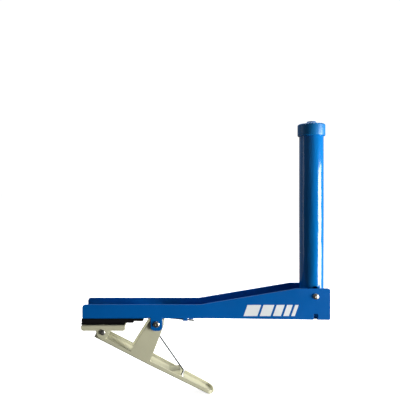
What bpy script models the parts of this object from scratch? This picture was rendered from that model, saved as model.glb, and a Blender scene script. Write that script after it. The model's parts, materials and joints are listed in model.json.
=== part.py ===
"""Table tennis net clamp: one folding net post on a spring clamp.

Frame: +X runs from the clamp jaw towards the post, +Z up along the post, +Y across the
clamp. The origin lies on the underside of the rubber grip strip, where the clamp sits on
the table top, straight above the jaw rivet and midway between the two sides.
"""
import math

import bmesh
import bpy
from mathutils import Matrix, Vector

MM = 0.001
FIT = 0.3 * MM                      # gap left between two pieces that touch or slide
RUNNING_FIT = 0.08 * MM             # gap between a rivet and the hole that turns on it

# Arm: a U channel, its web on the table side and its two flanges standing up
ARM_SHEET = 1.5 * MM
ARM_WIDTH = 23.0 * MM
ARM_JAW_END = -15.7 * MM
ARM_POST_END = 176.1 * MM
WEB_BOTTOM = 3.3 * MM
DIP_START = 92.0 * MM               # from here to the post end the web runs down by DIP
DIP = 1.2 * MM
FLANGE_LOW = 14.3 * MM              # flange top along the jaw half
FLANGE_HIGH = 26.8 * MM             # flange top beside the post
SLOPE_START = 75.6 * MM
SLOPE_END = 150.4 * MM
ARM_BEND = 1.6 * MM
EAR_WIDTH = 9.0 * MM
EAR_BOTTOM = -6.0 * MM
WINDOW_END = 60.0 * MM              # the web is open from the ears to here for the spring
HOOK_NOTCH = (3.4 * MM, 5.3 * MM)   # width and height of the notch for the net's lower cord

# Joint axes, all parallel to Y
PIVOT = Vector((41.7 * MM, 0, -0.9 * MM))
JAW_AXIS = Vector((0, 0, -7.1 * MM))
POST_AXIS = Vector((164.8 * MM, 0, 20.7 * MM))
POST_DROP = 5.3 * MM

# Rubber
STRIP_WIDTH = 21.0 * MM
STRIP_STEP = 23.9 * MM              # the strip is thinner past this step
STRIP_END = 31.5 * MM
STRIP_THIN_BOTTOM = 1.3 * MM
RUBBER_OVERHANG = 0.8 * MM

# Lever: a shallow channel that slants down and away from the jaw
LEVER_ANGLE = math.radians(27.1)
LEVER_FRONT = Vector((-7.0 * MM, 0, -11.4 * MM))   # lower front corner
LEVER_LENGTH = 103.8 * MM
LEVER_WIDTH = 19.4 * MM
LEVER_TIP_WIDTH = 14.0 * MM
LEVER_SHEET = 1.2 * MM
LEVER_RIM = 3.4 * MM
LEVER_BEND = 1.2 * MM
EAR_BASE = (30.1 * MM, 47.4 * MM)   # where the tall ears leave the rim, along the lever
EAR_ROUND = 5.2 * MM
TONGUE_ROOT = (66.0 * MM, 0.4 * MM)  # along the lever, above its outer face
TONGUE_TOP = (73.0 * MM, 5.6 * MM)
TONGUE_WIDTH = 11.0 * MM
OPENING_END = 78.0 * MM             # far side of the opening beyond the tongue

# Torsion spring
WIRE = 1.15 * MM
COIL_RADIUS = 5.0 * MM
COIL_PITCH = 1.30 * MM
FULL_TURNS = 3
ARM_LEG_SLOPE = math.radians(6.0)
ARM_LEG_END = 70.8 * MM
ARM_LEG_Y = -7.4 * MM
HOOK = (74.3 * MM, 6.5 * MM)        # top of the hooked end, along and above the lever
HOOK_FOOT = (74.9 * MM, 2.7 * MM)

# Jaw shoe
SHOE_ENDS = (-16.8 * MM, 17.4 * MM)
SHOE_TOP = -1.7 * MM
SHOE_SKIRT = -6.0 * MM
SHOE_WIDTH = 22.4 * MM
SHOE_SHEET = 1.2 * MM
LUG_HALF = 5.0 * MM
PAD_THICKNESS = 1.1 * MM

# Post
TUBE_RADIUS = 9.4 * MM
TUBE_WALL = 1.2 * MM
TUBE_BOTTOM = 11.9 * MM
TUBE_TOP = 153.2 * MM
SLOT_WIDTH = 4.6 * MM
CAP_RADIUS = 10.7 * MM
CAP_SKIRT = 145.8 * MM
CAP_SHOULDER = 155.6 * MM
CAP_TOP = 157.6 * MM
CROWN_FALL = 0.2 * MM               # how far the crown falls from the boss to the edge
BOSS_RADII = (4.6 * MM, 3.5 * MM)   # at the shoulder and at the top

# Rivets: half the length under the heads, shank radius, head radius, head height
PIVOT_RIVET = (ARM_WIDTH / 2 + FIT, 2.1 * MM, 2.4 * MM, 1.0 * MM)
JAW_RIVET = (SHOE_WIDTH / 2 + FIT, 1.8 * MM, 2.1 * MM, 0.9 * MM)
POST_RIVET = (ARM_WIDTH / 2 + FIT, 1.8 * MM, 2.3 * MM, 1.0 * MM)


# ---------------------------------------------------------------- scene and materials

def clear_scene():
    for item in list(bpy.data.objects):
        bpy.data.objects.remove(item)


def new_collection(name):
    collection = bpy.data.collections.new(name)
    bpy.context.scene.collection.children.link(collection)
    return collection


def new_material(name, colour, roughness, metallic=0.0):
    material = bpy.data.materials.new(name)
    material.use_nodes = True
    shader = material.node_tree.nodes["Principled BSDF"]
    shader.inputs["Base Color"].default_value = (*colour, 1.0)
    shader.inputs["Roughness"].default_value = roughness
    shader.inputs["Metallic"].default_value = metallic
    return material


clear_scene()
PARTS = new_collection("net_clamp")
CUTTERS = new_collection("cutters")
BLUE_COAT = new_material("blue powder coat", (0.003, 0.09, 0.38), 0.42)
BLUE_ENAMEL = new_material("blue enamel", (0.005, 0.12, 0.50), 0.18)
BLUE_PLASTIC = new_material("blue plastic", (0.01, 0.13, 0.48), 0.35)
CREAM_PAINT = new_material("cream paint", (0.66, 0.62, 0.45), 0.40)
BLACK_RUBBER = new_material("black rubber", (0.012, 0.012, 0.013), 0.75)
BLACK_PLASTIC = new_material("black plastic", (0.02, 0.02, 0.022), 0.50)
PLATED_STEEL = new_material("plated steel", (0.60, 0.58, 0.52), 0.30, 1.0)
SPRING_STEEL = new_material("spring steel", (0.11, 0.12, 0.12), 0.35, 1.0)


# ---------------------------------------------------------------- outlines and solids

def rounded(corners):
    """Turn (across, up, radius) corners into an outline with an arc at each radius."""
    outline = []
    count = len(corners)
    for index, (across, up, radius) in enumerate(corners):
        corner = Vector((across, up))
        if radius == 0:
            outline.append(corner)
            continue
        before = Vector(corners[index - 1][:2]) - corner
        after = Vector(corners[(index + 1) % count][:2]) - corner
        half_angle = before.angle(after) / 2
        centre = corner + (before.normalized() + after.normalized()).normalized() * (
            radius / math.sin(half_angle))
        start = (corner + before.normalized() * radius / math.tan(half_angle)) - centre
        sweep = start.angle_signed(
            corner + after.normalized() * radius / math.tan(half_angle) - centre)
        steps = max(2, round(abs(sweep) / math.radians(15)))
        for step in range(steps + 1):
            turn = Matrix.Rotation(-sweep * step / steps, 2)
            outline.append(centre + turn @ start)
    return outline


def rectangle(left, low, right, high):
    return [Vector((left, low)), Vector((right, low)), Vector((right, high)),
            Vector((left, high))]


def circle(across, up, radius, steps=24):
    turns = [2 * math.pi * step / steps for step in range(steps)]
    return [Vector((across + radius * math.cos(turn), up + radius * math.sin(turn)))
            for turn in turns]


def link(name, mesh, material, collection=PARTS):
    item = bpy.data.objects.new(name, mesh)
    collection.objects.link(item)
    if material:
        mesh.materials.clear()
        mesh.materials.append(material)
    return item


def curve_to_mesh(name, curve):
    """Evaluate a curve, weld its caps, merge its flat faces, and return the mesh."""
    holder = bpy.data.objects.new(name, curve)
    CUTTERS.objects.link(holder)
    bpy.context.view_layer.update()
    graph = bpy.context.evaluated_depsgraph_get()
    mesh = bpy.data.meshes.new_from_object(holder.evaluated_get(graph))
    bpy.data.objects.remove(holder)
    body = bmesh.new()
    body.from_mesh(mesh)
    bmesh.ops.remove_doubles(body, verts=body.verts, dist=1e-6)
    bmesh.ops.recalc_face_normals(body, faces=body.faces)
    bmesh.ops.dissolve_limit(
        body, angle_limit=math.radians(0.1), verts=body.verts, edges=body.edges)
    body.to_mesh(mesh)
    body.free()
    return mesh


def plate(name, outlines, low, high, to_world, material=None, collection=PARTS):
    """A flat piece: the first outline is filled, and the others are holes in it."""
    curve = bpy.data.curves.new(name, "CURVE")
    curve.dimensions = "2D"
    curve.fill_mode = "BOTH"
    curve.extrude = (high - low) / 2
    for outline in outlines:
        spline = curve.splines.new("POLY")
        spline.points.add(len(outline) - 1)
        for point, place in zip(spline.points, outline):
            point.co = (place[0], place[1], 0, 1)
        spline.use_cyclic_u = True
    mesh = curve_to_mesh(name, curve)
    mesh.transform(to_world @ Matrix.Translation((0, 0, (high + low) / 2)))
    return link(name, mesh, material, collection)


def axes(right, up, origin=(0, 0, 0)):
    """The matrix that lays an outline's across and up along two world directions."""
    right, up = Vector(right), Vector(up)
    out = right.cross(up)
    matrix = Matrix((right, up, out)).transposed().to_4x4()
    matrix.translation = origin
    return matrix


SIDE = axes((1, 0, 0), (0, 0, 1))   # outline in X and Z, thickness towards -Y
LEVER_ALONG = Vector((math.cos(LEVER_ANGLE), 0, -math.sin(LEVER_ANGLE)))
LEVER_UP = Vector((math.sin(LEVER_ANGLE), 0, math.cos(LEVER_ANGLE)))
LEVER_SIDE = axes(LEVER_ALONG, LEVER_UP, LEVER_FRONT)
LEVER_PLAN = axes(LEVER_ALONG, (0, 1, 0), LEVER_FRONT)


def on_lever(along, above, y=0.0):
    return LEVER_FRONT + LEVER_ALONG * along + LEVER_UP * above + Vector((0, y, 0))


def lever_place(point):
    """Along and above the lever, for a world point."""
    offset = point - LEVER_FRONT
    return offset.dot(LEVER_ALONG), offset.dot(LEVER_UP)


def box_cutter(name, low, high):
    body = bmesh.new()
    bmesh.ops.create_cube(body, size=1.0)
    size = Vector(high) - Vector(low)
    middle = (Vector(high) + Vector(low)) / 2
    bmesh.ops.scale(body, vec=size, verts=body.verts)
    bmesh.ops.translate(body, vec=middle, verts=body.verts)
    mesh = bpy.data.meshes.new(name)
    body.to_mesh(mesh)
    body.free()
    return as_cutter(link(name, mesh, None, CUTTERS))


def as_cutter(item):
    item.hide_render = True
    item.display_type = "WIRE"
    return item


def boolean(item, other, operation="DIFFERENCE"):
    modifier = item.modifiers.new(f"{operation.lower()} {other.name}", "BOOLEAN")
    modifier.operation = operation
    modifier.object = as_cutter(other)
    modifier.solver = "EXACT"


def bevel_edges(item, wanted, width, segments=3):
    """Round the edges of a mesh for which wanted(edge) is true."""
    body = bmesh.new()
    body.from_mesh(item.data)
    edges = [edge for edge in body.edges if wanted(edge)]
    bmesh.ops.bevel(
        body, geom=edges, offset=width, segments=segments, profile=0.5, affect="EDGES")
    body.to_mesh(item.data)
    body.free()


def origin_to(item, place):
    """Move the object's origin to a joint axis and leave its shape where it is."""
    item.data.transform(Matrix.Translation(-Vector(place)))
    item.location = place


def turned(name, profile, material, place, steps=48):
    """A turned piece: (radius, height) points, top to bottom down the outer side."""
    mesh = bpy.data.meshes.new(name)
    points = [(radius, 0, height) for radius, height in profile]
    edges = [(index, index + 1) for index in range(len(points) - 1)]
    if profile[0][0] > 0:
        edges.append((len(points) - 1, 0))
    mesh.from_pydata(points, edges, [])
    item = link(name, mesh, material)
    item.location = place
    screw = item.modifiers.new("turn", "SCREW")
    screw.steps = screw.render_steps = steps
    screw.use_merge_vertices = True
    screw.merge_threshold = 1e-5
    screw.use_smooth_shade = True
    return item


# ---------------------------------------------------------------- arm

def make_arm():
    half = ARM_WIDTH / 2
    inner = half - ARM_SHEET
    web_top = WEB_BOTTOM + ARM_SHEET
    slope = [(SLOPE_END, FLANGE_HIGH, 0), (SLOPE_START, FLANGE_LOW, 0)]
    outline = rounded([
        (ARM_JAW_END, WEB_BOTTOM, 0), (DIP_START, WEB_BOTTOM, 0),
        (ARM_POST_END, WEB_BOTTOM - DIP, 0), (ARM_POST_END, FLANGE_HIGH, 1.6 * MM), *slope,
        (ARM_JAW_END, FLANGE_LOW, 2.3 * MM)])
    post_hole = circle(POST_AXIS.x, POST_AXIS.z, POST_RIVET[1] + RUNNING_FIT)
    arm = plate("arm_channel", [outline, post_hole], -half, half, SIDE, BLUE_COAT)
    bevel_edges(arm, lambda edge: all(
        vert.co.z < WEB_BOTTOM + 1e-6 and abs(abs(vert.co.y) - half) < 1e-6
        for vert in edge.verts), ARM_BEND)

    reach = 5 * MM
    dip_beyond = DIP * (ARM_POST_END + reach - DIP_START) / (ARM_POST_END - DIP_START)
    trough = plate(
        "arm_trough",
        [[(ARM_JAW_END - reach, web_top), (DIP_START, web_top),
          (ARM_POST_END + reach, web_top - dip_beyond),
          (ARM_POST_END + reach, FLANGE_HIGH + reach),
          (ARM_JAW_END - reach, FLANGE_HIGH + reach)]],
        -inner, inner, SIDE, collection=CUTTERS)
    boolean(arm, trough)

    ear_left = PIVOT.x - EAR_WIDTH / 2
    ear_right = PIVOT.x + EAR_WIDTH / 2
    ear_outline = rounded([
        (ear_left, EAR_BOTTOM, 2.9 * MM), (ear_right, EAR_BOTTOM, 2.9 * MM),
        (ear_right, web_top + ARM_BEND, 0), (ear_left, web_top + ARM_BEND, 0)])
    ear_hole = circle(PIVOT.x, PIVOT.z, PIVOT_RIVET[1] + RUNNING_FIT)
    for side, low in (("near", -half), ("far", inner)):
        ear = plate(
            f"arm_ear_{side}", [ear_outline, ear_hole], -low - ARM_SHEET, -low, SIDE,
            collection=CUTTERS)
        boolean(arm, ear, "UNION")

    relief = 1.0 * MM
    window = box_cutter(
        "web_window", (ear_left - relief, -inner, WEB_BOTTOM - ARM_SHEET),
        (WINDOW_END, inner, web_top + 0.1 * MM))
    boolean(arm, window)

    # Lanced from the web: a tab beside the spring's leg, and a seat above its end
    tab_places = (
        ("leg_tab", (62.0 * MM, -9.6 * MM, 1.2 * MM), (65.8 * MM, -8.3 * MM, 4.0 * MM)),
        ("leg_seat", (66.8 * MM, -9.0 * MM, 2.4 * MM), (70.2 * MM, -5.4 * MM, 4.0 * MM)))
    for name, low, high in tab_places:
        boolean(arm, box_cutter(name, low, high), "UNION")

    notch_half = HOOK_NOTCH[0] / 2
    notch_top = WEB_BOTTOM - DIP + HOOK_NOTCH[1]
    notch_outline = rounded([
        (POST_AXIS.x - notch_half, WEB_BOTTOM - reach, 0),
        (POST_AXIS.x + notch_half, WEB_BOTTOM - reach, 0),
        (POST_AXIS.x + notch_half, notch_top, 1.3 * MM),
        (POST_AXIS.x - notch_half, notch_top, 1.3 * MM)])
    depth = ARM_SHEET + 2 * MM
    for side, low, high in (("near", half - depth, half + reach),
                            ("far", -half - reach, -half + depth)):
        notch = plate(
            f"hook_notch_{side}", [notch_outline], low, high, SIDE, collection=CUTTERS)
        boolean(arm, notch)
    return arm


def make_grip_strip():
    top = WEB_BOTTOM - FIT
    outline = rounded([
        (ARM_JAW_END - RUBBER_OVERHANG, 0, 0.5 * MM), (STRIP_STEP, 0, 0.4 * MM),
        (STRIP_STEP, STRIP_THIN_BOTTOM, 0), (STRIP_END, STRIP_THIN_BOTTOM, 0.4 * MM),
        (STRIP_END, top, 0), (ARM_JAW_END - RUBBER_OVERHANG, top, 0)])
    return plate(
        "arm_grip_strip", [outline], -STRIP_WIDTH / 2, STRIP_WIDTH / 2, SIDE, BLACK_RUBBER)


# ---------------------------------------------------------------- lever and spring

def lever_plan(inset):
    """The lever seen square to its outer face, drawn in by inset on every side."""
    wide = LEVER_WIDTH / 2 - inset
    narrow = LEVER_TIP_WIDTH / 2 - inset
    end = LEVER_LENGTH - inset
    tip = narrow - 1.2 * MM
    front = -0.5 * MM - inset
    taper = EAR_BASE[1] + 1.0 * MM
    return rounded([
        (front, -wide, 0), (taper, -wide, 0), (end, -narrow, tip), (end, narrow, tip),
        (taper, wide, 0), (front, wide, 0)])


def make_lever():
    pivot_along, pivot_above = lever_place(PIVOT)
    jaw_along, jaw_above = lever_place(JAW_AXIS)
    ear_top = pivot_above + EAR_ROUND
    lever = plate("lever", [lever_plan(0)], 0, ear_top + 1 * MM, LEVER_PLAN, CREAM_PAINT)
    bevel_edges(lever, lambda edge: all(
        abs(lever_place(vert.co)[1]) < 1e-6 for vert in edge.verts) and any(
        lever_place(vert.co)[0] > 0 for vert in edge.verts), LEVER_BEND)
    trough = plate(
        "lever_trough", [lever_plan(LEVER_SHEET)], LEVER_SHEET, ear_top + 5 * MM,
        LEVER_PLAN, collection=CUTTERS)
    boolean(lever, trough)

    # Seen from the side: the front ears, the low rim and the tall pivot ears
    beyond = 2 * MM
    front_end = 2 * jaw_along
    front_top = jaw_above + 3.6 * MM
    profile = rounded([
        (0, -beyond, 0), (LEVER_LENGTH + beyond, -beyond, 0),
        (LEVER_LENGTH + beyond, LEVER_RIM, 0), (EAR_BASE[1], LEVER_RIM, 0),
        (pivot_along + EAR_ROUND, ear_top, EAR_ROUND * 0.95),
        (pivot_along - EAR_ROUND, ear_top, EAR_ROUND * 0.95),
        (EAR_BASE[0], LEVER_RIM, 0), (front_end, LEVER_RIM, 0),
        (front_end, front_top, jaw_along * 0.97), (0, front_top, jaw_along * 0.97)])
    pivot_hole = circle(pivot_along, pivot_above, PIVOT_RIVET[1] + RUNNING_FIT)
    jaw_hole = circle(jaw_along, jaw_above, JAW_RIVET[1] + RUNNING_FIT)
    sides = plate(
        "lever_profile", [profile, pivot_hole, jaw_hole], -LEVER_WIDTH, LEVER_WIDTH,
        LEVER_SIDE, collection=CUTTERS)
    boolean(lever, sides, "INTERSECT")
    tip_gap = plate(
        "tip_gap", [rectangle(LEVER_LENGTH - 2.0 * MM, -LEVER_WIDTH, LEVER_LENGTH + beyond,
                              -LEVER_TIP_WIDTH / 4)],
        -beyond, LEVER_RIM + beyond, LEVER_PLAN, collection=CUTTERS)
    boolean(lever, tip_gap)

    # The tongue that holds the spring is drawn up out of the web like a louver
    half_width = TONGUE_WIDTH / 2
    rise = Vector(TONGUE_TOP) - Vector(TONGUE_ROOT)
    lift = Vector((-rise.y, rise.x)).normalized() * LEVER_SHEET
    outside = [
        Vector(TONGUE_ROOT), Vector((TONGUE_TOP[0] + 0.4 * MM, TONGUE_ROOT[1])),
        Vector((TONGUE_TOP[0] + 0.4 * MM, TONGUE_TOP[1] + 0.3 * MM)),
        Vector(TONGUE_TOP) + lift, Vector(TONGUE_ROOT) + lift]
    tongue = plate(
        "tongue", [outside], -half_width, half_width, LEVER_SIDE, collection=CUTTERS)
    boolean(lever, tongue, "UNION")
    step = TONGUE_TOP[0] - 0.2 * MM
    mouth = TONGUE_TOP[0] + 1.6 * MM
    hollow_start = TONGUE_ROOT[0] + 2.2 * MM

    def under_tongue(along):
        return TONGUE_ROOT[1] + (along - TONGUE_ROOT[0]) * rise.y / rise.x

    hollow = plate(
        "tongue_hollow",
        [[(hollow_start, -1 * MM), (step, -1 * MM), (step, LEVER_SHEET + 0.1 * MM),
          (mouth, LEVER_SHEET + 0.1 * MM), (mouth, under_tongue(mouth)),
          (hollow_start, under_tongue(hollow_start))]],
        -half_width + LEVER_SHEET, half_width - LEVER_SHEET, LEVER_SIDE,
        collection=CUTTERS)
    boolean(lever, hollow)

    # Beyond its mouth a narrow opening runs out through the far rim
    opening = plate(
        "mouth_opening",
        [rectangle(OPENING_END - 1.5 * MM, -half_width, OPENING_END, half_width)],
        -1 * MM, LEVER_SHEET + 0.1 * MM, LEVER_PLAN, collection=CUTTERS)
    boolean(lever, opening)
    slit = plate(
        "rim_slit",
        [rectangle(OPENING_END - 1.4 * MM, -0.8 * MM, OPENING_END - 0.1 * MM,
                   LEVER_RIM + 1 * MM)],
        -LEVER_WIDTH, -LEVER_WIDTH / 4, LEVER_SIDE, collection=CUTTERS)
    boolean(lever, slit)

    origin_to(lever, PIVOT)
    return lever


def spring_route():
    """Arm leg, coil and hooked lever leg, as one list of points."""
    def rim_point(angle, y):
        return PIVOT + Vector((math.cos(angle), 0, math.sin(angle))) * COIL_RADIUS + Vector(
            (0, y, 0))

    start = math.pi / 2 - ARM_LEG_SLOPE
    hook = on_lever(*HOOK)
    to_hook = hook - PIVOT
    leg_direction = math.atan2(to_hook.z, to_hook.x) + math.asin(COIL_RADIUS / to_hook.length)
    end = leg_direction - math.pi / 2 + 2 * math.pi * (FULL_TURNS + 1)
    lever_leg_y = ARM_LEG_Y + COIL_PITCH * (end - start) / (2 * math.pi)

    leg_start = rim_point(start, ARM_LEG_Y)
    run = ARM_LEG_END - leg_start.x
    tip = leg_start + Vector((run, 0, -run * math.tan(ARM_LEG_SLOPE)))
    route = [tip]
    steps = round((end - start) / math.radians(22.5))
    for step in range(steps + 1):
        share = step / steps
        route.append(rim_point(
            start + (end - start) * share, ARM_LEG_Y + (lever_leg_y - ARM_LEG_Y) * share))
    route += [
        on_lever(HOOK[0] - 0.9 * MM, HOOK[1] + 0.9 * MM, lever_leg_y),
        on_lever(HOOK[0] + 0.3 * MM, HOOK[1] + 0.5 * MM, lever_leg_y),
        on_lever(HOOK[0] + 0.6 * MM, HOOK[1] - 0.6 * MM, lever_leg_y),
        on_lever(*HOOK_FOOT, lever_leg_y)]
    return route


def make_spring():
    curve = bpy.data.curves.new("torsion_spring", "CURVE")
    curve.dimensions = "3D"
    curve.bevel_depth = WIRE / 2
    curve.bevel_resolution = 2
    curve.use_fill_caps = True
    route = spring_route()
    spline = curve.splines.new("POLY")
    spline.points.add(len(route) - 1)
    for point, place in zip(spline.points, route):
        point.co = (*place, 1)
    spring = link("torsion_spring", curve_to_mesh("torsion_spring", curve), SPRING_STEEL)
    origin_to(spring, PIVOT)
    return spring


# ---------------------------------------------------------------- jaw

def make_jaw():
    half = SHOE_WIDTH / 2
    inner = half - SHOE_SHEET
    skirt = rounded([
        (SHOE_ENDS[0], SHOE_SKIRT, 2.0 * MM),
        (JAW_AXIS.x - LUG_HALF, SHOE_SKIRT, 0.8 * MM),
        (JAW_AXIS.x - LUG_HALF, JAW_AXIS.z - LUG_HALF, LUG_HALF * 0.97),
        (JAW_AXIS.x + LUG_HALF, JAW_AXIS.z - LUG_HALF, LUG_HALF * 0.97),
        (JAW_AXIS.x + LUG_HALF, SHOE_SKIRT, 0.8 * MM),
        (SHOE_ENDS[1], SHOE_SKIRT, 1.6 * MM),
        (SHOE_ENDS[1], SHOE_TOP, 0), (SHOE_ENDS[0], SHOE_TOP, 0)])
    hole = circle(JAW_AXIS.x, JAW_AXIS.z, JAW_RIVET[1] + RUNNING_FIT)
    shoe = plate("jaw_shoe", [skirt, hole], -half, half, SIDE, CREAM_PAINT)
    bevel_edges(shoe, lambda edge: all(
        abs(vert.co.z - SHOE_TOP) < 1e-6 and abs(abs(vert.co.y) - half) < 1e-6
        for vert in edge.verts), 1.0 * MM)
    reach = 5 * MM
    hollow = box_cutter(
        "shoe_hollow", (SHOE_ENDS[0] - reach, -inner, JAW_AXIS.z - LUG_HALF - reach),
        (SHOE_ENDS[1] + reach, inner, SHOE_TOP - SHOE_SHEET))
    boolean(shoe, hollow)
    origin_to(shoe, JAW_AXIS)

    pad_bottom = SHOE_TOP + FIT
    pad_outline = rounded([
        (SHOE_ENDS[0], pad_bottom, 0), (SHOE_ENDS[1] - 0.3 * MM, pad_bottom, 0),
        (SHOE_ENDS[1] + 0.8 * MM, pad_bottom + PAD_THICKNESS, 0.3 * MM),
        (SHOE_ENDS[0], pad_bottom + PAD_THICKNESS, 0.3 * MM)])
    pad = plate("jaw_pad", [pad_outline], -half + 0.9 * MM, half - 0.9 * MM, SIDE, BLACK_RUBBER)
    origin_to(pad, JAW_AXIS)
    return shoe, pad


# ---------------------------------------------------------------- post

def make_post():
    inner = TUBE_RADIUS - TUBE_WALL
    tube = turned("post_tube", [
        (TUBE_RADIUS, TUBE_TOP - POST_AXIS.z), (TUBE_RADIUS, TUBE_BOTTOM - POST_AXIS.z),
        (inner, TUBE_BOTTOM - POST_AXIS.z), (inner, TUBE_TOP - POST_AXIS.z)],
        BLUE_ENAMEL, POST_AXIS)
    slot_radius = SLOT_WIDTH / 2
    slot_outline = rounded([
        (POST_AXIS.x - slot_radius, POST_AXIS.z - slot_radius, slot_radius * 0.99),
        (POST_AXIS.x + slot_radius, POST_AXIS.z - slot_radius, slot_radius * 0.99),
        (POST_AXIS.x + slot_radius, POST_AXIS.z + POST_DROP + slot_radius, slot_radius * 0.99),
        (POST_AXIS.x - slot_radius, POST_AXIS.z + POST_DROP + slot_radius, slot_radius * 0.99)])
    slot = plate(
        "post_slot", [slot_outline], -ARM_WIDTH, ARM_WIDTH, SIDE, collection=CUTTERS)
    boolean(tube, slot)

    bore = TUBE_RADIUS + FIT
    lift = -POST_AXIS.z
    crown_round = 1.3 * MM
    skirt_round = 0.8 * MM
    edge = []
    for turn in (80, 60, 40, 20, 0):
        angle = math.radians(turn)
        edge.append((
            CAP_RADIUS - crown_round + crown_round * math.cos(angle),
            CAP_SHOULDER - CROWN_FALL - crown_round + crown_round * math.sin(angle) + lift))
    for turn in (0, 45, 90):
        angle = math.radians(turn)
        edge.append((
            CAP_RADIUS - skirt_round + skirt_round * math.cos(angle),
            CAP_SKIRT + skirt_round - skirt_round * math.sin(angle) + lift))
    cap = turned("post_cap", [
        (0, CAP_TOP + lift), (BOSS_RADII[1] - 0.3 * MM, CAP_TOP + lift),
        (BOSS_RADII[1], CAP_TOP - 0.3 * MM + lift), (BOSS_RADII[0], CAP_SHOULDER + lift),
        *edge, (bore, CAP_SKIRT + lift),
        (bore, TUBE_TOP + FIT + lift), (0, TUBE_TOP + FIT + lift)],
        BLUE_PLASTIC, POST_AXIS)

    plug_radius = inner - FIT
    plug_lip = TUBE_BOTTOM - FIT
    plug = turned("post_foot_plug", [
        (0, TUBE_BOTTOM + 4.6 * MM + lift), (plug_radius - 0.4 * MM, TUBE_BOTTOM + 4.6 * MM + lift),
        (plug_radius, TUBE_BOTTOM + 4.2 * MM + lift), (plug_radius, plug_lip + lift),
        (TUBE_RADIUS - 0.2 * MM, plug_lip + lift),
        (TUBE_RADIUS - 0.2 * MM, plug_lip - 0.8 * MM + lift),
        (TUBE_RADIUS - 0.6 * MM, plug_lip - 1.1 * MM + lift),
        (0, plug_lip - 1.1 * MM + lift)],
        BLACK_PLASTIC, POST_AXIS)
    return tube, cap, plug


# ---------------------------------------------------------------- rivets

def make_rivet(name, axis, sizes):
    """A headed rivet along Y with a low dome at each end."""
    half_grip, shank, head, dome = sizes
    profile = []
    for step in range(5):
        angle = math.radians(90 - 22.5 * step)
        profile.append((head * math.cos(angle) if step else 0.0,
                        half_grip + dome * math.sin(angle)))
    profile += [(shank, half_grip), (shank, -half_grip)]
    for step in range(5):
        angle = math.radians(22.5 * step)
        profile.append((head * math.cos(angle) if step < 4 else 0.0,
                        -half_grip - dome * math.sin(angle)))
    rivet = turned(name, profile, PLATED_STEEL, axis, steps=24)
    rivet.rotation_euler = (math.pi / 2, 0, 0)
    return rivet


make_arm()
make_grip_strip()
make_lever()
make_spring()
make_jaw()
make_post()
make_rivet("lever_pivot_rivet", PIVOT, PIVOT_RIVET)
make_rivet("jaw_rivet", JAW_AXIS, JAW_RIVET)
make_rivet("post_rivet", POST_AXIS, POST_RIVET)
for piece in PARTS.objects:
    piece.data.set_sharp_from_angle(angle=math.radians(35))
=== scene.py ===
"""Looks of the table tennis net clamp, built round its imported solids.

Frame: +X from the jaw towards the post, +Z up the post, +Y away from the camera. Metres.
"""
import json
import math

import bmesh
import bpy
from mathutils import Matrix, Vector
from mathutils.geometry import delaunay_2d_cdt


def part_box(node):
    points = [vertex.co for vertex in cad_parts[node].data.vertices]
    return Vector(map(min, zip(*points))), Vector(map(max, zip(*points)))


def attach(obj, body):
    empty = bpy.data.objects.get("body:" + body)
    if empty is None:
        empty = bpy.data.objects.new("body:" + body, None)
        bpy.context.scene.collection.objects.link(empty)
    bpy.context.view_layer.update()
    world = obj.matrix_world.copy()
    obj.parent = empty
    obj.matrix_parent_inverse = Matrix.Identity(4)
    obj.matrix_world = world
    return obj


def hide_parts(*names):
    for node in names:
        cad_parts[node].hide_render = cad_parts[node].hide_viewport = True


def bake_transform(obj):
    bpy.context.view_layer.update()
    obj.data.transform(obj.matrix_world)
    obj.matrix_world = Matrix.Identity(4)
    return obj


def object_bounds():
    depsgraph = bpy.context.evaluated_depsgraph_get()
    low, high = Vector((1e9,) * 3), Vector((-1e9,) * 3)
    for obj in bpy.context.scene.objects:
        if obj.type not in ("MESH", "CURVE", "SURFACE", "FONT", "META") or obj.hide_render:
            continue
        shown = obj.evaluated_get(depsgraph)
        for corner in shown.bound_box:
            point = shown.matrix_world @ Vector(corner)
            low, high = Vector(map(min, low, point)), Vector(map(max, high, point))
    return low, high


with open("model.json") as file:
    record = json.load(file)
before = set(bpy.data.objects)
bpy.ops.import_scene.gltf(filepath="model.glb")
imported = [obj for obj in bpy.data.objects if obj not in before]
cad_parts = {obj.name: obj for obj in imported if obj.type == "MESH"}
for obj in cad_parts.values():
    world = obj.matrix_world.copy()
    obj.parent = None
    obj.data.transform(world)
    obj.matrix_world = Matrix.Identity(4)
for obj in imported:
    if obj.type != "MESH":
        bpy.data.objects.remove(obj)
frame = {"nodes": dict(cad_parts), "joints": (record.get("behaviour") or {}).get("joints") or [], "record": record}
CAD_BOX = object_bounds()
NODES = frame["nodes"]
MM = 0.001


def joint_place(name):
    return Vector(next(j["pos_m"] for j in frame["joints"] if j["name"] == name))


PIVOT = joint_place("lever_squeeze")
JAW_AXIS = joint_place("jaw_swivel")
POST_AXIS = joint_place("post_fold")

# Round pieces: sizes that a node's box doesn't give
TUBE_WALL = 1.2 * MM
CAP_SHOULDER = 155.6 * MM
CROWN_FALL = 0.2 * MM
BOSS_RADII = (4.6 * MM, 3.5 * MM)
SLOT_WIDTH = 4.6 * MM
POST_DROP = 5.3 * MM
RIVET_SHANKS = {"lever_pivot_rivet": 2.1 * MM, "jaw_rivet": 1.8 * MM, "post_rivet": 1.8 * MM}
RIVET_DOMES = {"lever_pivot_rivet": 1.0 * MM, "jaw_rivet": 0.9 * MM, "post_rivet": 1.0 * MM}

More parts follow.
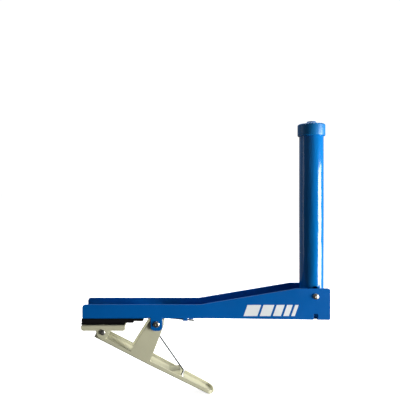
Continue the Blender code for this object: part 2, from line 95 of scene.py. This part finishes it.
# Lever directions and torsion spring
LEVER_ANGLE = math.radians(27.1)
LEVER_FRONT = Vector((-7.0 * MM, 0, -11.4 * MM))
LEVER_ALONG = Vector((math.cos(LEVER_ANGLE), 0, -math.sin(LEVER_ANGLE)))
LEVER_UP = Vector((math.sin(LEVER_ANGLE), 0, math.cos(LEVER_ANGLE)))
WIRE = 1.15 * MM
COIL_RADIUS = 5.0 * MM
COIL_PITCH = 1.30 * MM
FULL_TURNS = 3
ARM_LEG_SLOPE = math.radians(6.0)
ARM_LEG_END = 70.8 * MM
ARM_LEG_Y = -7.4 * MM
HOOK = (74.3 * MM, 6.5 * MM)
HOOK_FOOT = (74.9 * MM, 2.7 * MM)

# Printed motif on the arm's front face: plain slanted bars
MOTIF_START = 109.0 * MM
MOTIF_LOW = 5.6 * MM
MOTIF_HIGH = 14.2 * MM
MOTIF_BARS = (10.6 * MM, 8.4 * MM, 6.2 * MM, 4.4 * MM, 2.8 * MM)
MOTIF_GAP = 1.8 * MM
MOTIF_LEAN = 3.0 * MM
PRINT_THICKNESS = 0.04 * MM

# Rounded edges: how wide on each piece, and the turn past which an edge is rounded
EDGE_ROUNDS = {
    "arm_channel": 0.20 * MM, "lever": 0.16 * MM, "jaw_shoe": 0.16 * MM,
    "arm_grip_strip": 0.20 * MM, "jaw_pad": 0.18 * MM}
SHARP_TURN = math.radians(50.0)

# Points closer than this are one point
WELD = 0.002 * MM

# Flat faces: the smallest one filled again, and how far off its plane a point may be
FLAT_LEAST = 0.02 * MM * MM
FLAT_WITHIN = 0.0005 * MM

# Fill of a flat face, in millimetres: how near two points meet, and twice the area
# of a triangle that is too thin for the even-odd test
MEET_WITHIN = 1e-5
THINNEST = 0.001

# Camera
CAMERA_PLACE = Vector((0.0599, -0.3475, 0.1022))
CAMERA_LENS = 39.15
CAMERA_SHIFT = (0.05, -0.0225)

# Room light on the object: dim and bright end, towards the back and upwards
ROOM_BACK = (0.03, 0.26)
ROOM_ABOVE = (0.01, 0.15)

# White backdrop and floor as the eye sees them
BACKDROP_STRENGTH = 1.05
FLOOR_WHITE = 0.9
FLOOR_GLOW = 0.86
FLOOR_BELOW = 0.2 * MM
FLOOR_HALF = 20.0

# Area lights, all aimed at one place: name, place, width and height, power
LIGHT_AIM = (0.10, 0.0, 0.04)
LIGHTS = (
    ("window, low on the front right", (1.01, -0.34, -0.12), (0.62, 0.80), 26.0),
    ("overhead, behind", (0.30, 0.30, 0.95), (0.8, 0.5), 10.0),
    ("left, behind", (-0.84, 0.14, 0.10), (0.26, 1.1), 0.7))


# ---------------------------------------------------------------- material nodes

class Nodes:
    """Short calls for building one material's node tree."""

    def __init__(self, name):
        self.material = bpy.data.materials.new(name)
        self.material.use_nodes = True
        self.tree = self.material.node_tree
        self.shader = self.tree.nodes["Principled BSDF"]
        self.place = self.add("ShaderNodeTexCoord").outputs["Object"]

    def add(self, kind, **values):
        node = self.tree.nodes.new(kind)
        for key, value in values.items():
            setattr(node, key, value)
        return node

    def link(self, source, target):
        self.tree.links.new(source, target)

    def stretched(self, scale):
        node = self.add("ShaderNodeMapping")
        node.inputs["Scale"].default_value = scale
        self.link(self.place, node.inputs["Vector"])
        return node.outputs["Vector"]

    def noise(self, scale, detail=2.0, rough=0.5, where=None):
        node = self.add("ShaderNodeTexNoise")
        node.inputs["Scale"].default_value = scale
        node.inputs["Detail"].default_value = detail
        node.inputs["Roughness"].default_value = rough
        self.link(where or self.place, node.inputs["Vector"])
        return node.outputs["Fac"]

    def ramp(self, source, stops):
        node = self.add("ShaderNodeValToRGB")
        ramp = node.color_ramp
        while len(ramp.elements) < len(stops):
            ramp.elements.new(0.5)
        for element, (place, colour) in zip(ramp.elements, stops):
            element.position = place
            element.color = (*colour, 1.0)
        self.link(source, node.inputs["Fac"])
        return node.outputs["Color"]

    def spread(self, source, low, high, start=0.3, end=0.7):
        node = self.add("ShaderNodeMapRange")
        node.inputs["From Min"].default_value = start
        node.inputs["From Max"].default_value = end
        node.inputs["To Min"].default_value = low
        node.inputs["To Max"].default_value = high
        self.link(source, node.inputs["Value"])
        return node.outputs["Result"]

    def mix(self, factor, first, second):
        node = self.add("ShaderNodeMix", data_type="RGBA")
        self.link(factor, node.inputs["Factor"])
        for socket, value in ((node.inputs[6], first), (node.inputs[7], second)):
            if isinstance(value, tuple):
                socket.default_value = (*value, 1.0)
            else:
                self.link(value, socket)
        return node.outputs[2]

    def bump(self, height, distance, strength=1.0, below=None):
        node = self.add("ShaderNodeBump")
        node.inputs["Distance"].default_value = distance
        node.inputs["Strength"].default_value = strength
        self.link(height, node.inputs["Height"])
        if below is not None:
            self.link(below, node.inputs["Normal"])
        return node.outputs["Normal"]

    def finish(self, colour, roughness, normal=None, **fixed):
        self.link(colour, self.shader.inputs["Base Color"])
        self.link(roughness, self.shader.inputs["Roughness"])
        if normal is not None:
            self.link(normal, self.shader.inputs["Normal"])
        for name, value in fixed.items():
            self.shader.inputs[name.replace("_", " ")].default_value = value
        return self.material


def shade(colour, amount):
    return tuple(min(1.0, part * amount) for part in colour)


def painted(name, colour, rough, peel, peel_scale, gloss=0.5):
    """Sprayed paint: faint cloudiness, an uneven skin, and dust nibs."""
    n = Nodes(name)
    cloud = n.noise(38.0, 4.0, 0.55)
    grain = n.noise(1400.0, 2.0, 0.6)
    tone = n.ramp(cloud, ((0.30, shade(colour, 0.92)), (0.70, shade(colour, 1.07))))
    nibs = n.spread(grain, 0.0, 1.0, 0.66, 0.74)
    tone = n.mix(nibs, tone, shade(colour, 1.18))
    roughness = n.spread(n.noise(110.0, 3.0), rough - 0.05, rough + 0.06)
    skin = n.bump(n.noise(peel_scale, 2.0, 0.45), peel)
    skin = n.bump(grain, peel * 0.25, 1.0, skin)
    return n.finish(tone, roughness, skin, Specular_IOR_Level=gloss)


def enamel(name, colour):
    """Glossy dipped enamel on a tube: long ripples along it and small bubbles."""
    n = Nodes(name)
    cloud = n.noise(30.0, 3.0)
    tone = n.ramp(cloud, ((0.3, shade(colour, 0.95)), (0.7, shade(colour, 1.05))))
    ripple = n.noise(1.0, 2.0, 0.5, n.stretched((300.0, 300.0, 60.0)))
    pits = n.noise(1.0, 2.0, 0.5, n.stretched((900.0, 900.0, 500.0)))
    skin = n.bump(ripple, 0.22 * MM)
    skin = n.bump(pits, 0.03 * MM, 1.0, skin)
    roughness = n.spread(cloud, 0.10, 0.17)
    return n.finish(tone, roughness, skin, Coat_Weight=0.35, Coat_Roughness=0.06)


def plastic(name, colour, rough, sparkle=0.02):
    n = Nodes(name)
    cloud = n.noise(60.0, 3.0)
    tone = n.ramp(cloud, ((0.3, shade(colour, 0.95)), (0.7, shade(colour, 1.05))))
    texture = n.noise(2600.0, 2.0)
    skin = n.bump(texture, sparkle * MM)
    roughness = n.spread(n.noise(240.0, 2.0), rough - 0.04, rough + 0.05)
    return n.finish(tone, roughness, skin)


def rubber(name, colour):
    """Moulded rubber with a fine grain, paler where it has been rubbed."""
    n = Nodes(name)
    scuff = n.noise(1.0, 4.0, 0.6, n.stretched((90.0, 400.0, 700.0)))
    tone = n.ramp(scuff, ((0.35, colour), (0.62, shade(colour, 1.5)), (0.80, shade(colour, 3.0))))
    grain = n.noise(3200.0, 3.0)
    skin = n.bump(grain, 0.05 * MM)
    return n.finish(tone, n.spread(scuff, 0.62, 0.85), skin, Specular_IOR_Level=0.15)


def metal(name, colour, rough, scratch=(2000.0, 2000.0, 2000.0), tarnish=0.6):
    n = Nodes(name)
    stain = n.noise(420.0, 4.0, 0.6)
    tone = n.ramp(stain, ((0.35, shade(colour, tarnish)), (0.60, colour)))
    marks = n.noise(1.0, 3.0, 0.6, n.stretched(scratch))
    skin = n.bump(marks, 0.02 * MM)
    return n.finish(tone, n.spread(marks, rough - 0.08, rough + 0.12), skin, Metallic=1.0)


BLUE = (0.0, 0.104, 0.385)
CREAM = (0.57, 0.555, 0.385)
LOOKS = {
    "arm_channel": painted("satin blue paint", BLUE, 0.36, 0.06 * MM, 620.0, 0.15),
    "post_tube": enamel("blue enamel", (0.0, 0.170, 0.530)),
    "post_cap": plastic("blue plastic", (0.0, 0.170, 0.480), 0.36),
    "lever": painted("cream paint", CREAM, 0.42, 0.05 * MM, 700.0),
    "arm_grip_strip": rubber("black rubber", (0.0022, 0.0022, 0.0026)),
    "post_foot_plug": plastic("black plastic", (0.012, 0.012, 0.013), 0.45),
    "post_rivet": metal("plated steel", (0.64, 0.60, 0.52), 0.30),
    "jaw_rivet": metal("dull plated steel", (0.42, 0.41, 0.38), 0.36),
    "torsion_spring": metal("oiled spring wire", (0.13, 0.15, 0.145), 0.34),
}
LOOKS["jaw_shoe"] = LOOKS["lever"]
LOOKS["jaw_pad"] = LOOKS["arm_grip_strip"]
LOOKS["lever_pivot_rivet"] = LOOKS["post_rivet"]
WHITE_PRINT = plastic("white print", (0.80, 0.82, 0.82), 0.45)


# ---------------------------------------------------------------- pieces

def link(name, mesh, look, body):
    piece = bpy.data.objects.new(name, mesh)
    bpy.context.scene.collection.objects.link(piece)
    mesh.materials.clear()
    mesh.materials.append(look)
    if body:
        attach(piece, body)
    return piece


def body_of(node):
    bodies = frame["record"]["behaviour"]["bodies"]
    return next(body for body, nodes in bodies.items() if node in nodes)


def flat_regions(body):
    """Groups of touching faces that lie in one plane, as (faces, normal), largest first."""
    regions = []
    taken = set()
    for first in sorted(body.faces, key=lambda face: -face.calc_area()):
        if first in taken or first.calc_area() < FLAT_LEAST:
            continue
        middle, normal = first.calc_center_median(), first.normal.copy()
        faces = [first]
        taken.add(first)
        for face in faces:
            for near in [other for edge in face.edges for other in edge.link_faces]:
                level = max(abs((vert.co - middle).dot(normal)) for vert in near.verts)
                if near not in taken and level < FLAT_WITHIN:
                    taken.add(near)
                    faces.append(near)
        regions.append((faces, normal))
    return regions


def within(point, outline):
    """Whether a flat point lies inside outlines with holes, by the even-odd rule."""
    crossings = 0
    for start, end in outline:
        if (start.y > point.y) != (end.y > point.y):
            share = (point.y - start.y) / (end.y - start.y)
            crossings += point.x < start.x + share * (end.x - start.x)
    return crossings % 2 == 1


def refill(body, faces, normal):
    """Fill one flat region again from its outlines, so that no sliver folds over."""
    inside = set(faces)
    rim = [
        edge for face in faces for edge in face.edges
        if sum(other in inside for other in edge.link_faces) == 1]
    verts = list(dict.fromkeys(vert for edge in rim for vert in edge.verts))
    index = {vert: number for number, vert in enumerate(verts)}
    across = normal.orthogonal().normalized()
    up = normal.cross(across)
    flat = [Vector((vert.co.dot(across), vert.co.dot(up))) / MM for vert in verts]
    lines = [(index[edge.verts[0]], index[edge.verts[1]]) for edge in rim]
    outline = [(flat[first], flat[last]) for first, last in lines]
    inside_outlines = 1
    found = delaunay_2d_cdt(flat, lines, [], inside_outlines, MEET_WITHIN)
    corners, triangles, sources = found[0], found[2], found[3]
    if len(corners) != len(verts):
        return
    bmesh.ops.delete(body, geom=faces, context="FACES_KEEP_BOUNDARY")
    thin = []
    for triangle in triangles:
        first, second, third = (corners[corner] for corner in triangle)
        ends = [verts[sources[corner][0]] for corner in triangle]
        if (second - first).cross(third - first) < THINNEST:
            thin.append(ends)
        elif within((first + second + third) / 3, outline):
            body.faces.new(ends)
    for ends in thin:
        sides = [body.edges.get(pair) for pair in zip(ends, ends[1:] + ends[:1])]
        if all(side is None or len(side.link_faces) < 2 for side in sides):
            body.faces.new(ends)


def softened(node, width):
    """The node's own shape with its outer edges rounded, in place of the node."""
    body = bmesh.new()
    body.from_mesh(NODES[node].data)
    bmesh.ops.remove_doubles(body, verts=body.verts, dist=WELD)
    outer = [
        edge for edge in body.edges
        if edge.is_convex and edge.calc_face_angle(0) > SHARP_TURN]
    bmesh.ops.bevel(
        body, geom=outer, offset=width, offset_type="OFFSET", segments=2, profile=0.5,
        affect="EDGES", clamp_overlap=False)
    for faces, normal in flat_regions(body):
        if len(faces) > 1:
            refill(body, faces, normal)
    mesh = bpy.data.meshes.new(node + "_fine")
    body.to_mesh(mesh)
    body.free()
    piece = link(node + "_fine", mesh, LOOKS[node], body_of(node))
    mesh.shade_smooth()
    mesh.set_sharp_from_angle(angle=SHARP_TURN)
    flatter = piece.modifiers.new("flat faces stay flat", "WEIGHTED_NORMAL")
    flatter.weight = 100
    flatter.keep_sharp = True
    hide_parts(node)
    return piece


def turned(node, profile, place, steps=96, along_y=False):
    """A turned piece from (radius, height) points, in place of the node."""
    body = bmesh.new()
    verts = [body.verts.new((radius, 0, height)) for radius, height in profile]
    closed = profile[0][0] > 0
    pairs = list(zip(verts, verts[1:])) + ([(verts[-1], verts[0])] if closed else [])
    edges = [body.edges.new(pair) for pair in pairs]
    bmesh.ops.spin(
        body, geom=verts + edges, axis=(0, 0, 1), cent=(0, 0, 0), steps=steps,
        angle=2 * math.pi, use_merge=True)
    bmesh.ops.remove_doubles(body, verts=body.verts, dist=WELD)
    bmesh.ops.recalc_face_normals(body, faces=body.faces)
    if along_y:
        turn = Matrix.Rotation(math.pi / 2, 3, "X")
        bmesh.ops.rotate(body, verts=body.verts, cent=(0, 0, 0), matrix=turn)
    bmesh.ops.translate(body, verts=body.verts, vec=place)
    mesh = bpy.data.meshes.new(node + "_fine")
    body.to_mesh(mesh)
    body.free()
    mesh.shade_smooth()
    mesh.set_sharp_from_angle(angle=math.radians(38))
    piece = link(node + "_fine", mesh, LOOKS[node], body_of(node))
    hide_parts(node)
    return piece


def arc(centre, radius, start, end, steps):
    """Points on an arc, as (radius, height), from one angle in degrees to another."""
    points = []
    for step in range(steps + 1):
        angle = math.radians(start + (end - start) * step / steps)
        points.append((
            centre[0] + radius * math.cos(angle), centre[1] + radius * math.sin(angle)))
    return points


def make_tube():
    low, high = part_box("post_tube")
    radius = (high.x - low.x) / 2
    inner = radius - TUBE_WALL
    lip = 0.25 * MM
    profile = [
        (inner, high.z), *arc((radius - lip, high.z - lip), lip, 90, 0, 3),
        *arc((radius - lip, low.z + lip), lip, 0, -90, 3), (inner, low.z)]
    tube = turned("post_tube", profile, Vector((POST_AXIS.x, 0, 0)), steps=128)
    slot = bmesh.new()
    bmesh.ops.create_cone(
        slot, cap_ends=True, segments=32, radius1=SLOT_WIDTH / 2, radius2=SLOT_WIDTH / 2,
        depth=4 * radius)
    turn = Matrix.Rotation(math.pi / 2, 3, "X")
    bmesh.ops.rotate(slot, verts=slot.verts, cent=(0, 0, 0), matrix=turn)
    upper = [vert for vert in slot.verts if vert.co.z > 0]
    bmesh.ops.translate(slot, verts=upper, vec=(0, 0, POST_DROP))
    mesh = bpy.data.meshes.new("tube_slot_cutter")
    slot.to_mesh(mesh)
    slot.free()
    cutter = bpy.data.objects.new("tube_slot_cutter", mesh)
    bpy.context.scene.collection.objects.link(cutter)
    cutter.location = POST_AXIS
    cut = tube.modifiers.new("slot", "BOOLEAN")
    cut.operation = "DIFFERENCE"
    cut.object = cutter
    bpy.context.view_layer.update()
    graph = bpy.context.evaluated_depsgraph_get()
    finished = bpy.data.meshes.new_from_object(tube.evaluated_get(graph))
    tube.modifiers.clear()
    tube.data = finished
    bpy.data.objects.remove(cutter)
    return tube


def make_cap():
    low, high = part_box("post_cap")
    radius = (high.x - low.x) / 2
    tube_low, tube_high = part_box("post_tube")
    bore = (tube_high.x - tube_low.x) / 2 + 0.15 * MM
    crown_round = 1.3 * MM
    skirt_round = 0.8 * MM
    crown = CAP_SHOULDER - CROWN_FALL
    profile = [
        (0, high.z),
        *arc((BOSS_RADII[1] - 0.5 * MM, high.z - 0.5 * MM), 0.5 * MM, 90, 10, 5),
        (BOSS_RADII[0] - 0.3 * MM, CAP_SHOULDER + 0.35 * MM),
        (BOSS_RADII[0], CAP_SHOULDER + 0.06 * MM),
        (BOSS_RADII[0] + 0.5 * MM, CAP_SHOULDER),
        *arc((radius - crown_round, crown - crown_round), crown_round, 84, 0, 8),
        *arc((radius - skirt_round, low.z + skirt_round), skirt_round, 0, -90, 6),
        (bore, low.z), (bore, tube_high.z + 0.3 * MM), (0, tube_high.z + 0.3 * MM)]
    return turned("post_cap", profile, Vector((POST_AXIS.x, 0, 0)), steps=128)


def make_plug():
    low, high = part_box("post_foot_plug")
    radius = (high.x - low.x) / 2
    tube_low, tube_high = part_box("post_tube")
    bore = (tube_high.x - tube_low.x) / 2 - TUBE_WALL - 0.3 * MM
    lip = tube_low.z - 0.3 * MM
    profile = [
        (0, high.z), (bore - 0.4 * MM, high.z), (bore, high.z - 0.4 * MM), (bore, lip),
        (radius, lip), *arc((radius - 0.4 * MM, low.z + 0.4 * MM), 0.4 * MM, 0, -90, 5),
        (0, low.z)]
    return turned("post_foot_plug", profile, Vector((POST_AXIS.x, 0, 0)), steps=96)


def make_rivet(node, axis):
    low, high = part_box(node)
    dome = RIVET_DOMES[node]
    head = (high.x - low.x) / 2
    reach = (high.y - low.y) / 2
    grip = reach - dome
    shank = RIVET_SHANKS[node]
    side = []
    for step in range(9):
        angle = math.radians(90 - 90 * step / 8)
        side.append((head * math.cos(angle) if step else 0.0, grip + dome * math.sin(angle)))
    # A shallow dimple where the shank was spun over
    side[0] = (0.0, reach - 0.18 * MM)
    side.insert(1, (head * 0.14, reach - 0.12 * MM))
    other = [(radius, -height) for radius, height in reversed(side)]
    profile = [*side, (shank, grip), (shank, -grip), *other]
    return turned(node, profile, Vector((axis.x, 0, axis.z)), steps=48, along_y=True)


def on_lever(along, above, y):
    return LEVER_FRONT + LEVER_ALONG * along + LEVER_UP * above + Vector((0, y, 0))


def make_spring():
    """Arm leg, coil and hooked lever leg of one wire."""
    def rim(angle, y):
        around = Vector((math.cos(angle), 0, math.sin(angle)))
        return PIVOT + around * COIL_RADIUS + Vector((0, y, 0))

    start = math.pi / 2 - ARM_LEG_SLOPE
    to_hook = on_lever(*HOOK, 0.0) - PIVOT
    leg_direction = math.atan2(to_hook.z, to_hook.x) + math.asin(COIL_RADIUS / to_hook.length)
    end = leg_direction - math.pi / 2 + 2 * math.pi * (FULL_TURNS + 1)
    last_y = ARM_LEG_Y + COIL_PITCH * (end - start) / (2 * math.pi)

    leg_start = rim(start, ARM_LEG_Y)
    run = ARM_LEG_END - leg_start.x
    route = [
        leg_start + Vector((run * share, 0, -run * share * math.tan(ARM_LEG_SLOPE)))
        for share in (1.0, 0.66, 0.33)]
    steps = round((end - start) / math.radians(9))
    for step in range(steps + 1):
        share = step / steps
        route.append(rim(
            start + (end - start) * share, ARM_LEG_Y + (last_y - ARM_LEG_Y) * share))
    leave = route[-1]
    shoulder = on_lever(HOOK[0] - 0.9 * MM, HOOK[1] + 0.9 * MM, last_y)
    route += [leave.lerp(shoulder, share) for share in (0.33, 0.66)]
    route += [
        shoulder,
        on_lever(HOOK[0] - 0.2 * MM, HOOK[1] + 0.85 * MM, last_y),
        on_lever(HOOK[0] + 0.3 * MM, HOOK[1] + 0.4 * MM, last_y),
        on_lever(HOOK[0] + 0.55 * MM, HOOK[1] - 0.4 * MM, last_y),
        on_lever(HOOK_FOOT[0], HOOK_FOOT[1], last_y)]

    curve = bpy.data.curves.new("spring_wire", "CURVE")
    curve.dimensions = "3D"
    curve.bevel_depth = WIRE / 2
    curve.bevel_resolution = 4
    curve.use_fill_caps = True
    spline = curve.splines.new("POLY")
    spline.points.add(len(route) - 1)
    for point, place in zip(spline.points, route):
        point.co = (*place, 1)
    holder = bpy.data.objects.new("spring_wire", curve)
    bpy.context.scene.collection.objects.link(holder)
    bpy.context.view_layer.update()
    graph = bpy.context.evaluated_depsgraph_get()
    mesh = bpy.data.meshes.new_from_object(holder.evaluated_get(graph))
    bpy.data.objects.remove(holder)
    body = bmesh.new()
    body.from_mesh(mesh)
    bmesh.ops.remove_doubles(body, verts=body.verts, dist=0.001 * MM)
    body.to_mesh(mesh)
    body.free()
    mesh.shade_smooth()
    mesh.set_sharp_from_angle(angle=math.radians(50))
    spring = link("torsion_spring_fine", mesh, LOOKS["torsion_spring"], None)
    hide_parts("torsion_spring")
    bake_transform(spring)
    return spring


def make_motif():
    """Plain slanted bars, thinner and thinner, printed on the arm's front face."""
    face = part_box("arm_channel")[0].y
    body = bmesh.new()
    left = MOTIF_START
    for width in MOTIF_BARS:
        corners = (
            (left, MOTIF_LOW), (left + width, MOTIF_LOW),
            (left + width + MOTIF_LEAN, MOTIF_HIGH), (left + MOTIF_LEAN, MOTIF_HIGH))
        verts = [body.verts.new((x, face, z)) for x, z in corners]
        base = body.faces.new(verts)
        grown = bmesh.ops.extrude_face_region(body, geom=[base])
        new = [item for item in grown["geom"] if isinstance(item, bmesh.types.BMVert)]
        bmesh.ops.translate(body, verts=new, vec=(0, -PRINT_THICKNESS, 0))
        left += width + MOTIF_GAP
    bmesh.ops.recalc_face_normals(body, faces=body.faces)
    mesh = bpy.data.meshes.new("arm_print")
    body.to_mesh(mesh)
    body.free()
    return link("arm_print", mesh, WHITE_PRINT, "arm")


for sheet_or_rubber, round_width in EDGE_ROUNDS.items():
    softened(sheet_or_rubber, round_width)
make_tube()
make_cap()
make_plug()
make_rivet("lever_pivot_rivet", PIVOT)
make_rivet("jaw_rivet", JAW_AXIS)
make_rivet("post_rivet", POST_AXIS)
make_spring()
make_motif()


# ---------------------------------------------------------------- floor, light, camera

def by_ray(tree, to_eye, to_object):
    """One shader for what the eye sees directly, another for the light on the object."""
    path = tree.nodes.new("ShaderNodeLightPath")
    mix = tree.nodes.new("ShaderNodeMixShader")
    tree.links.new(path.outputs["Is Camera Ray"], mix.inputs["Fac"])
    tree.links.new(to_object, mix.inputs[1])
    tree.links.new(to_eye, mix.inputs[2])
    return mix.outputs["Shader"]


def make_floor():
    """White with a soft contact shadow; light from below passes through it."""
    lowest = CAD_BOX[0][2]
    body = bmesh.new()
    bmesh.ops.create_grid(body, x_segments=1, y_segments=1, size=FLOOR_HALF)
    bmesh.ops.translate(body, verts=body.verts, vec=(0, 0, lowest - FLOOR_BELOW))
    mesh = bpy.data.meshes.new("floor")
    body.to_mesh(mesh)
    body.free()
    floor = bpy.data.objects.new("floor", mesh)
    bpy.context.scene.collection.objects.link(floor)
    material = bpy.data.materials.new("white floor")
    material.use_nodes = True
    tree = material.node_tree
    tree.nodes.clear()
    output = tree.nodes.new("ShaderNodeOutputMaterial")
    white = tree.nodes.new("ShaderNodeBsdfDiffuse")
    white.inputs["Color"].default_value = (FLOOR_WHITE, FLOOR_WHITE, FLOOR_WHITE, 1.0)
    glow = tree.nodes.new("ShaderNodeEmission")
    glow.inputs["Strength"].default_value = FLOOR_GLOW
    both = tree.nodes.new("ShaderNodeAddShader")
    tree.links.new(white.outputs["BSDF"], both.inputs[0])
    tree.links.new(glow.outputs["Emission"], both.inputs[1])
    clear = tree.nodes.new("ShaderNodeBsdfTransparent")
    shader = by_ray(tree, both.outputs["Shader"], clear.outputs["BSDF"])
    tree.links.new(shader, output.inputs["Surface"])
    mesh.materials.append(material)


def make_world():
    """White to the eye; to the object a dim room, brighter behind and above."""
    world = bpy.data.worlds.new("studio")
    bpy.context.scene.world = world
    world.use_nodes = True
    tree = world.node_tree
    tree.nodes.clear()
    output = tree.nodes.new("ShaderNodeOutputWorld")
    seen = tree.nodes.new("ShaderNodeBackground")
    seen.inputs["Strength"].default_value = BACKDROP_STRENGTH
    seen.inputs["Color"].default_value = (1.0, 1.0, 1.0, 1.0)
    room = tree.nodes.new("ShaderNodeBackground")
    room.inputs["Color"].default_value = (0.97, 0.98, 1.0, 1.0)
    direction = tree.nodes.new("ShaderNodeTexCoord")
    split = tree.nodes.new("ShaderNodeSeparateXYZ")
    tree.links.new(direction.outputs["Generated"], split.inputs["Vector"])
    total = tree.nodes.new("ShaderNodeMath")
    total.operation = "ADD"
    for index, (axis, dim, bright) in enumerate((("Y", *ROOM_BACK), ("Z", *ROOM_ABOVE))):
        level = tree.nodes.new("ShaderNodeMapRange")
        level.inputs["From Min"].default_value = 0.0
        level.inputs["From Max"].default_value = 1.0
        level.inputs["To Min"].default_value = dim
        level.inputs["To Max"].default_value = bright
        tree.links.new(split.outputs[axis], level.inputs["Value"])
        tree.links.new(level.outputs["Result"], total.inputs[index])
    tree.links.new(total.outputs["Value"], room.inputs["Strength"])
    shader = by_ray(tree, seen.outputs["Background"], room.outputs["Background"])
    tree.links.new(shader, output.inputs["Surface"])


def area_light(name, place, size, power):
    light = bpy.data.lights.new(name, "AREA")
    light.shape = "RECTANGLE"
    light.size, light.size_y = size
    light.energy = power
    item = bpy.data.objects.new(name, light)
    item.location = place
    item.rotation_euler = (Vector(LIGHT_AIM) - Vector(place)).to_track_quat("-Z", "Y").to_euler()
    bpy.context.scene.collection.objects.link(item)


def make_camera():
    camera = bpy.data.cameras.new("camera")
    camera.lens = CAMERA_LENS
    camera.sensor_width = 36.0
    camera.shift_x, camera.shift_y = CAMERA_SHIFT
    camera.clip_start = 0.01
    item = bpy.data.objects.new("camera", camera)
    item.location = CAMERA_PLACE
    item.rotation_euler = (math.pi / 2, 0, 0)
    bpy.context.scene.collection.objects.link(item)
    bpy.context.scene.camera = item


make_floor()
make_world()
for light in LIGHTS:
    area_light(*light)
make_camera()
bpy.context.scene.view_settings.view_transform = "Standard"
